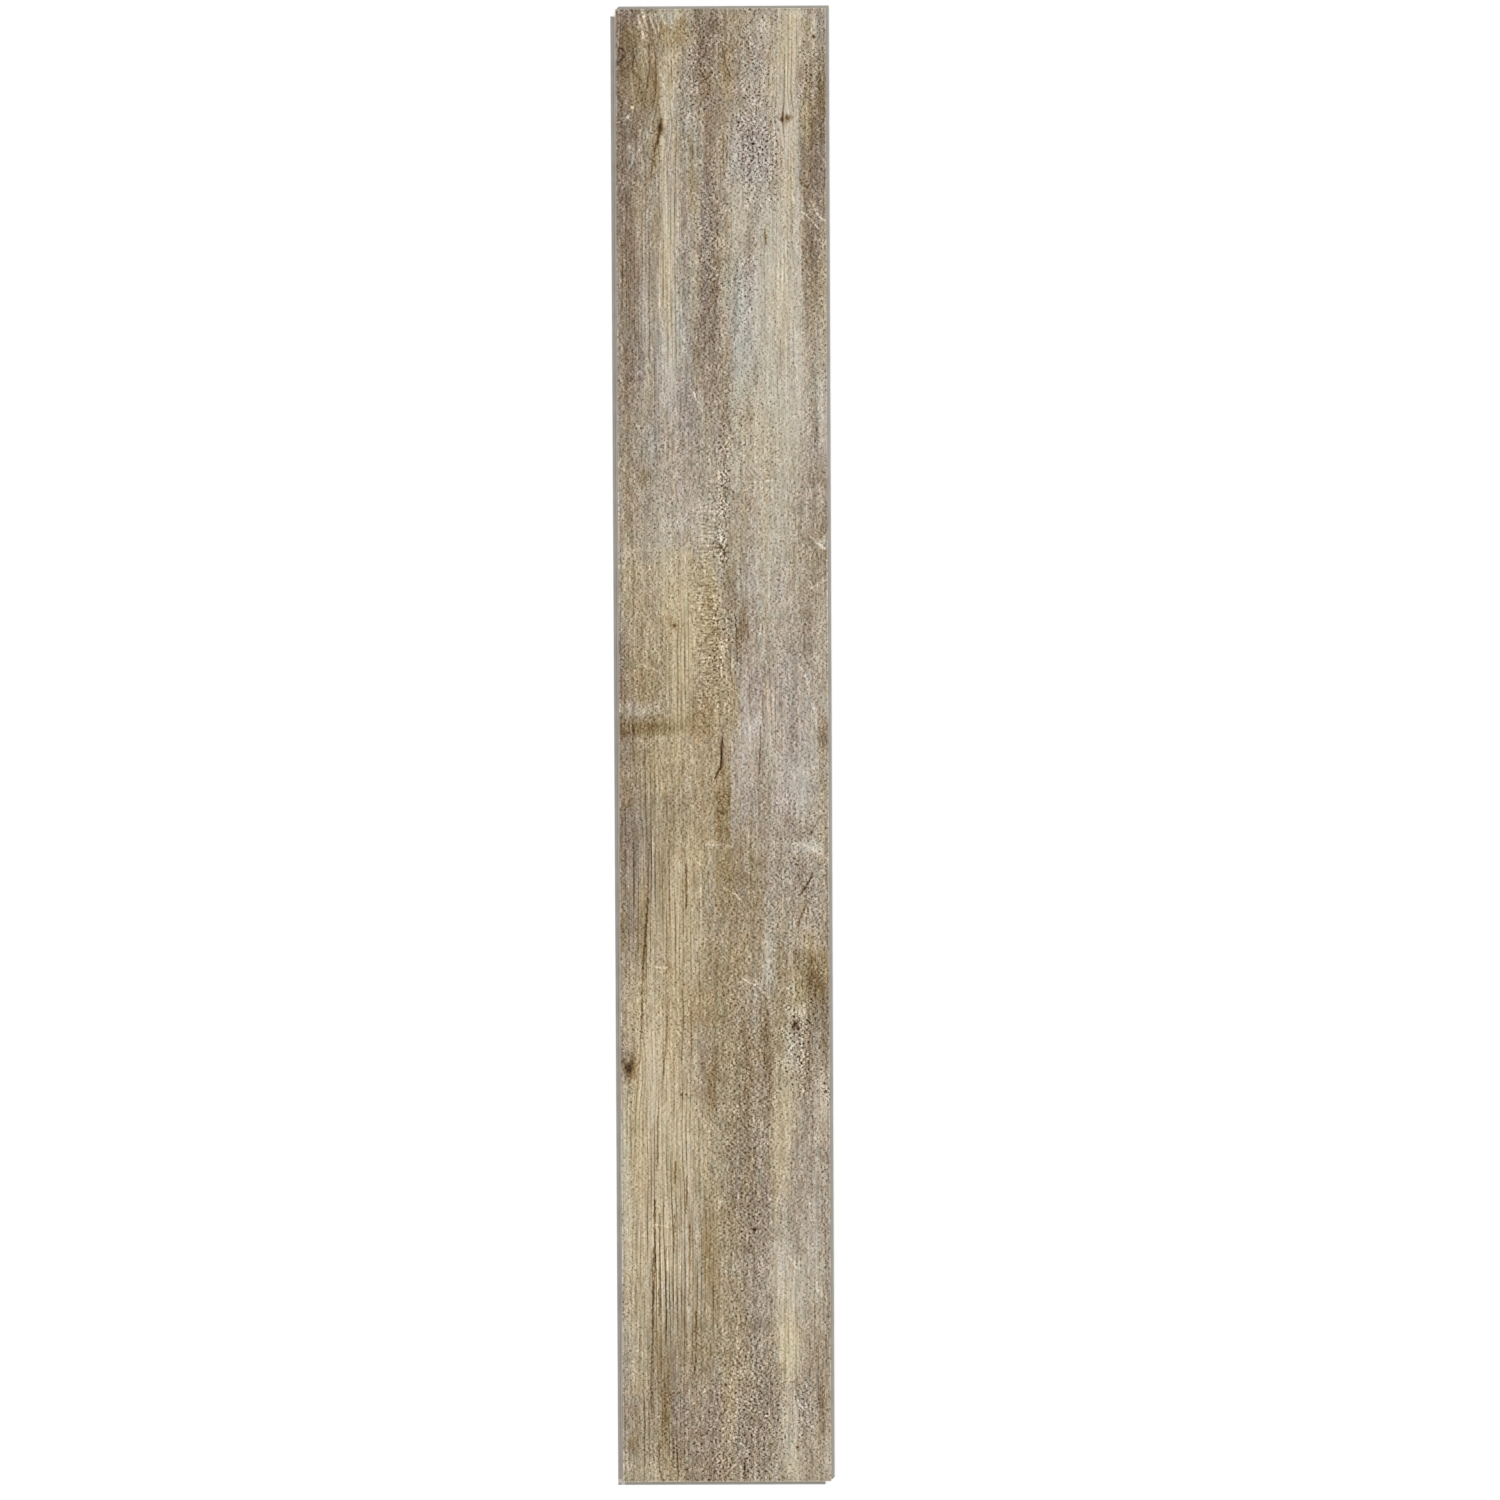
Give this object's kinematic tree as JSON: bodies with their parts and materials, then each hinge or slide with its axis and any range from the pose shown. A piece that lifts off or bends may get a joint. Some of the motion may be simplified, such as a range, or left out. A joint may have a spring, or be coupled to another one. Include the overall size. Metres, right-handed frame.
{
  "type": "wood-look wall panel",
  "caption": "Click-lock plank for walls and floors: a grey rigid core with milled tongues and locking lips, faced with an embossed layer that looks like weathered wood.",
  "frame": {"origin": "on the back, under the middle of the printed face", "axes": "+Y along the length to the end with the tongue, +X to the side with the tongue, +Z out of the printed face"},
  "size_m": [0.1831, 1.245, 0.005],
  "materials": {
    "core": "matt",
    "decor": "matt, embossed"
  },
  "bodies": {
    "root": {"core_board": "core", "decor_face": "decor"}
  },
  "joints": []
}
